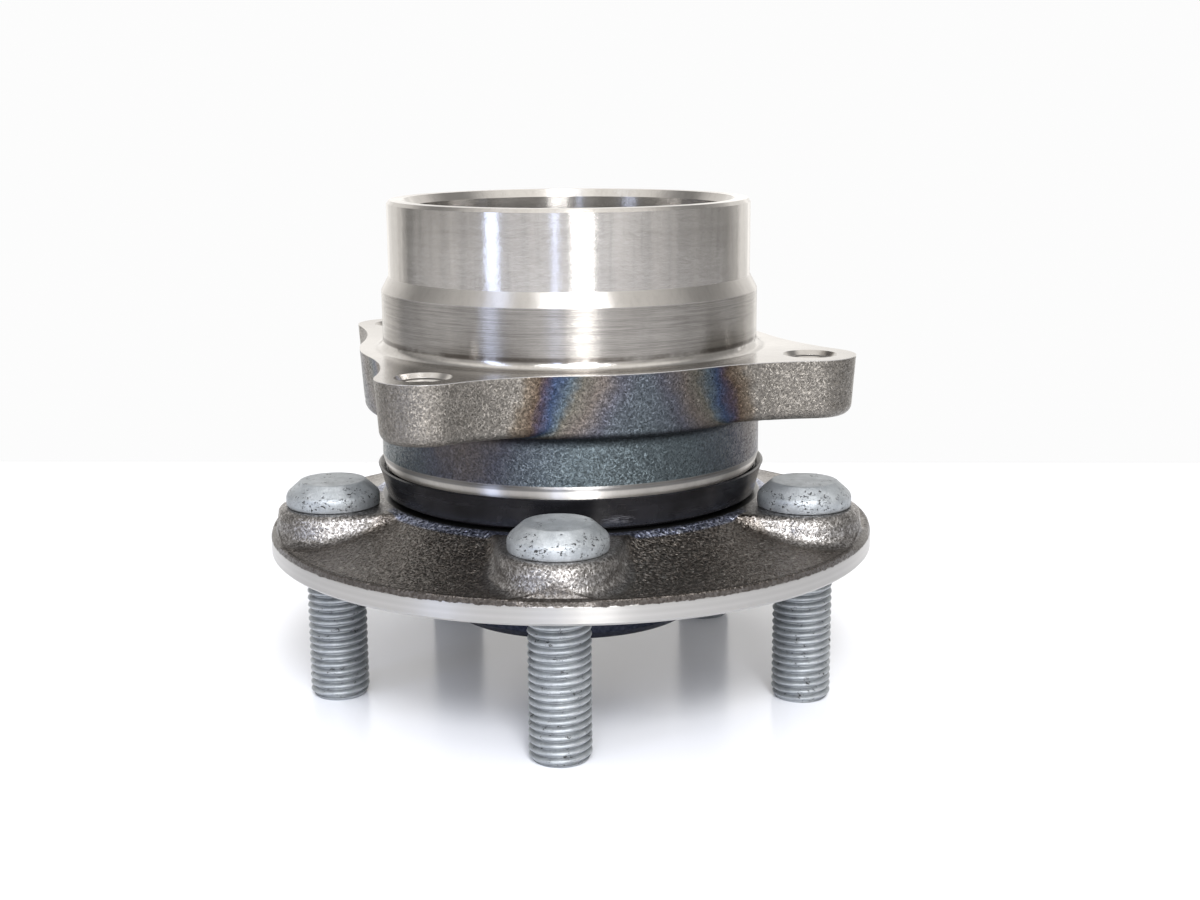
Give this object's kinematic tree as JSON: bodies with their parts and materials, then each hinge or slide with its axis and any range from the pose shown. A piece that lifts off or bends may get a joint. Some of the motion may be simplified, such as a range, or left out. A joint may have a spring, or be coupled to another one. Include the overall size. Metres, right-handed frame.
{
  "type": "wheel hub bearing",
  "caption": "Driven wheel hub unit: flanged hub with pressed studs and pilot, turning in a bolted outer ring on two rows of angular-contact balls, sealed at both ends.",
  "frame": {"origin": "on the axis of rotation, in the plane of the wheel mounting face", "axes": "+Z along the axis of rotation, inboard towards the car; wheel stud 1 points along -Y"},
  "size_m": [0.125, 0.125, 0.1007],
  "materials": {
    "forged_steel": "forged, with turned faces",
    "ring_steel": "turned and ground, with a heat tint on the forged body",
    "bearing_steel": "ground and polished",
    "zinc_steel": "matt zinc flake",
    "sheet_steel": "pressed sheet",
    "seal_rubber": "satin black",
    "encoder_rubber": "matt brown-black",
    "cage_plastic": "natural nylon"
  },
  "bodies": {
    "housing": {"outer_ring": "ring_steel", "outboard_seal_core": "sheet_steel", "outboard_seal_rubber": "seal_rubber", "inboard_seal_case": "sheet_steel", "inboard_seal_lip": "seal_rubber"},
    "hub": {"wheel_hub": "forged_steel", "inner_ring": "bearing_steel", "encoder_slinger": "sheet_steel", "magnetic_encoder": "encoder_rubber", "wheel_stud_1": "zinc_steel", "wheel_stud_2": "zinc_steel", "wheel_stud_3": "zinc_steel", "wheel_stud_4": "zinc_steel", "wheel_stud_5": "zinc_steel"},
    "outboard_cage_set": {"outboard_cage": "cage_plastic"},
    "ball_outboard_01_body": {"ball_outboard_01": "bearing_steel"},
    "ball_outboard_02_body": {"ball_outboard_02": "bearing_steel"},
    "ball_outboard_03_body": {"ball_outboard_03": "bearing_steel"},
    "ball_outboard_04_body": {"ball_outboard_04": "bearing_steel"},
    "ball_outboard_05_body": {"ball_outboard_05": "bearing_steel"},
    "ball_outboard_06_body": {"ball_outboard_06": "bearing_steel"},
    "ball_outboard_07_body": {"ball_outboard_07": "bearing_steel"},
    "ball_outboard_08_body": {"ball_outboard_08": "bearing_steel"},
    "ball_outboard_09_body": {"ball_outboard_09": "bearing_steel"},
    "ball_outboard_10_body": {"ball_outboard_10": "bearing_steel"},
    "ball_outboard_11_body": {"ball_outboard_11": "bearing_steel"},
    "ball_outboard_12_body": {"ball_outboard_12": "bearing_steel"},
    "inboard_cage_set": {"inboard_cage": "cage_plastic"},
    "ball_inboard_01_body": {"ball_inboard_01": "bearing_steel"},
    "ball_inboard_02_body": {"ball_inboard_02": "bearing_steel"},
    "ball_inboard_03_body": {"ball_inboard_03": "bearing_steel"},
    "ball_inboard_04_body": {"ball_inboard_04": "bearing_steel"},
    "ball_inboard_05_body": {"ball_inboard_05": "bearing_steel"},
    "ball_inboard_06_body": {"ball_inboard_06": "bearing_steel"},
    "ball_inboard_07_body": {"ball_inboard_07": "bearing_steel"},
    "ball_inboard_08_body": {"ball_inboard_08": "bearing_steel"},
    "ball_inboard_09_body": {"ball_inboard_09": "bearing_steel"},
    "ball_inboard_10_body": {"ball_inboard_10": "bearing_steel"},
    "ball_inboard_11_body": {"ball_inboard_11": "bearing_steel"},
    "ball_inboard_12_body": {"ball_inboard_12": "bearing_steel"}
  },
  "joints": [
    {"name": "hub_spin", "type": "hinge", "parent": "housing", "child": "hub", "pos_m": [0, 0, 0], "axis": [0, 0, 1], "continuous": true},
    {"name": "outboard_cage_orbit", "type": "hinge", "parent": "housing", "child": "outboard_cage_set", "pos_m": [0, 0, 0.023], "axis": [0, 0, 1], "continuous": true},
    {"name": "ball_outboard_01_roll", "type": "hinge", "parent": "outboard_cage_set", "child": "ball_outboard_01_body", "pos_m": [0, -0.0265, 0.023], "axis": [0, 0.6428, 0.766], "continuous": true},
    {"name": "ball_outboard_02_roll", "type": "hinge", "parent": "outboard_cage_set", "child": "ball_outboard_02_body", "pos_m": [0.01325, -0.02295, 0.023], "axis": [-0.3214, 0.5567, 0.766], "continuous": true},
    {"name": "ball_outboard_03_roll", "type": "hinge", "parent": "outboard_cage_set", "child": "ball_outboard_03_body", "pos_m": [0.02295, -0.01325, 0.023], "axis": [-0.5567, 0.3214, 0.766], "continuous": true},
    {"name": "ball_outboard_04_roll", "type": "hinge", "parent": "outboard_cage_set", "child": "ball_outboard_04_body", "pos_m": [0.0265, 0, 0.023], "axis": [-0.6428, 0, 0.766], "continuous": true},
    {"name": "ball_outboard_05_roll", "type": "hinge", "parent": "outboard_cage_set", "child": "ball_outboard_05_body", "pos_m": [0.02295, 0.01325, 0.023], "axis": [-0.5567, -0.3214, 0.766], "continuous": true},
    {"name": "ball_outboard_06_roll", "type": "hinge", "parent": "outboard_cage_set", "child": "ball_outboard_06_body", "pos_m": [0.01325, 0.02295, 0.023], "axis": [-0.3214, -0.5567, 0.766], "continuous": true},
    {"name": "ball_outboard_07_roll", "type": "hinge", "parent": "outboard_cage_set", "child": "ball_outboard_07_body", "pos_m": [0, 0.0265, 0.023], "axis": [0, -0.6428, 0.766], "continuous": true},
    {"name": "ball_outboard_08_roll", "type": "hinge", "parent": "outboard_cage_set", "child": "ball_outboard_08_body", "pos_m": [-0.01325, 0.02295, 0.023], "axis": [0.3214, -0.5567, 0.766], "continuous": true},
    {"name": "ball_outboard_09_roll", "type": "hinge", "parent": "outboard_cage_set", "child": "ball_outboard_09_body", "pos_m": [-0.02295, 0.01325, 0.023], "axis": [0.5567, -0.3214, 0.766], "continuous": true},
    {"name": "ball_outboard_10_roll", "type": "hinge", "parent": "outboard_cage_set", "child": "ball_outboard_10_body", "pos_m": [-0.0265, 0, 0.023], "axis": [0.6428, 0, 0.766], "continuous": true},
    {"name": "ball_outboard_11_roll", "type": "hinge", "parent": "outboard_cage_set", "child": "ball_outboard_11_body", "pos_m": [-0.02295, -0.01325, 0.023], "axis": [0.5567, 0.3214, 0.766], "continuous": true},
    {"name": "ball_outboard_12_roll", "type": "hinge", "parent": "outboard_cage_set", "child": "ball_outboard_12_body", "pos_m": [-0.01325, -0.02295, 0.023], "axis": [0.3214, 0.5567, 0.766], "continuous": true},
    {"name": "inboard_cage_orbit", "type": "hinge", "parent": "housing", "child": "inboard_cage_set", "pos_m": [0, 0, 0.048], "axis": [0, 0, 1], "continuous": true},
    {"name": "ball_inboard_01_roll", "type": "hinge", "parent": "inboard_cage_set", "child": "ball_inboard_01_body", "pos_m": [0, -0.0265, 0.048], "axis": [0, -0.6428, 0.766], "continuous": true},
    {"name": "ball_inboard_02_roll", "type": "hinge", "parent": "inboard_cage_set", "child": "ball_inboard_02_body", "pos_m": [0.01325, -0.02295, 0.048], "axis": [0.3214, -0.5567, 0.766], "continuous": true},
    {"name": "ball_inboard_03_roll", "type": "hinge", "parent": "inboard_cage_set", "child": "ball_inboard_03_body", "pos_m": [0.02295, -0.01325, 0.048], "axis": [0.5567, -0.3214, 0.766], "continuous": true},
    {"name": "ball_inboard_04_roll", "type": "hinge", "parent": "inboard_cage_set", "child": "ball_inboard_04_body", "pos_m": [0.0265, 0, 0.048], "axis": [0.6428, 0, 0.766], "continuous": true},
    {"name": "ball_inboard_05_roll", "type": "hinge", "parent": "inboard_cage_set", "child": "ball_inboard_05_body", "pos_m": [0.02295, 0.01325, 0.048], "axis": [0.5567, 0.3214, 0.766], "continuous": true},
    {"name": "ball_inboard_06_roll", "type": "hinge", "parent": "inboard_cage_set", "child": "ball_inboard_06_body", "pos_m": [0.01325, 0.02295, 0.048], "axis": [0.3214, 0.5567, 0.766], "continuous": true},
    {"name": "ball_inboard_07_roll", "type": "hinge", "parent": "inboard_cage_set", "child": "ball_inboard_07_body", "pos_m": [0, 0.0265, 0.048], "axis": [0, 0.6428, 0.766], "continuous": true},
    {"name": "ball_inboard_08_roll", "type": "hinge", "parent": "inboard_cage_set", "child": "ball_inboard_08_body", "pos_m": [-0.01325, 0.02295, 0.048], "axis": [-0.3214, 0.5567, 0.766], "continuous": true},
    {"name": "ball_inboard_09_roll", "type": "hinge", "parent": "inboard_cage_set", "child": "ball_inboard_09_body", "pos_m": [-0.02295, 0.01325, 0.048], "axis": [-0.5567, 0.3214, 0.766], "continuous": true},
    {"name": "ball_inboard_10_roll", "type": "hinge", "parent": "inboard_cage_set", "child": "ball_inboard_10_body", "pos_m": [-0.0265, 0, 0.048], "axis": [-0.6428, 0, 0.766], "continuous": true},
    {"name": "ball_inboard_11_roll", "type": "hinge", "parent": "inboard_cage_set", "child": "ball_inboard_11_body", "pos_m": [-0.02295, -0.01325, 0.048], "axis": [-0.5567, -0.3214, 0.766], "continuous": true},
    {"name": "ball_inboard_12_roll", "type": "hinge", "parent": "inboard_cage_set", "child": "ball_inboard_12_body", "pos_m": [-0.01325, -0.02295, 0.048], "axis": [-0.3214, -0.5567, 0.766], "continuous": true}
  ],
  "couplings": [
    {"joint": "outboard_cage_orbit", "follows": "hub_spin", "ratio": 0.41396},
    {"joint": "ball_outboard_01_roll", "follows": "hub_spin", "ratio": -2.1599},
    {"joint": "ball_outboard_02_roll", "follows": "hub_spin", "ratio": -2.1599},
    {"joint": "ball_outboard_03_roll", "follows": "hub_spin", "ratio": -2.1599},
    {"joint": "ball_outboard_04_roll", "follows": "hub_spin", "ratio": -2.1599},
    {"joint": "ball_outboard_05_roll", "follows": "hub_spin", "ratio": -2.1599},
    {"joint": "ball_outboard_06_roll", "follows": "hub_spin", "ratio": -2.1599},
    {"joint": "ball_outboard_07_roll", "follows": "hub_spin", "ratio": -2.1599},
    {"joint": "ball_outboard_08_roll", "follows": "hub_spin", "ratio": -2.1599},
    {"joint": "ball_outboard_09_roll", "follows": "hub_spin", "ratio": -2.1599},
    {"joint": "ball_outboard_10_roll", "follows": "hub_spin", "ratio": -2.1599},
    {"joint": "ball_outboard_11_roll", "follows": "hub_spin", "ratio": -2.1599},
    {"joint": "ball_outboard_12_roll", "follows": "hub_spin", "ratio": -2.1599},
    {"joint": "inboard_cage_orbit", "follows": "hub_spin", "ratio": 0.41396},
    {"joint": "ball_inboard_01_roll", "follows": "hub_spin", "ratio": -2.1599},
    {"joint": "ball_inboard_02_roll", "follows": "hub_spin", "ratio": -2.1599},
    {"joint": "ball_inboard_03_roll", "follows": "hub_spin", "ratio": -2.1599},
    {"joint": "ball_inboard_04_roll", "follows": "hub_spin", "ratio": -2.1599},
    {"joint": "ball_inboard_05_roll", "follows": "hub_spin", "ratio": -2.1599},
    {"joint": "ball_inboard_06_roll", "follows": "hub_spin", "ratio": -2.1599},
    {"joint": "ball_inboard_07_roll", "follows": "hub_spin", "ratio": -2.1599},
    {"joint": "ball_inboard_08_roll", "follows": "hub_spin", "ratio": -2.1599},
    {"joint": "ball_inboard_09_roll", "follows": "hub_spin", "ratio": -2.1599},
    {"joint": "ball_inboard_10_roll", "follows": "hub_spin", "ratio": -2.1599},
    {"joint": "ball_inboard_11_roll", "follows": "hub_spin", "ratio": -2.1599},
    {"joint": "ball_inboard_12_roll", "follows": "hub_spin", "ratio": -2.1599}
  ]
}
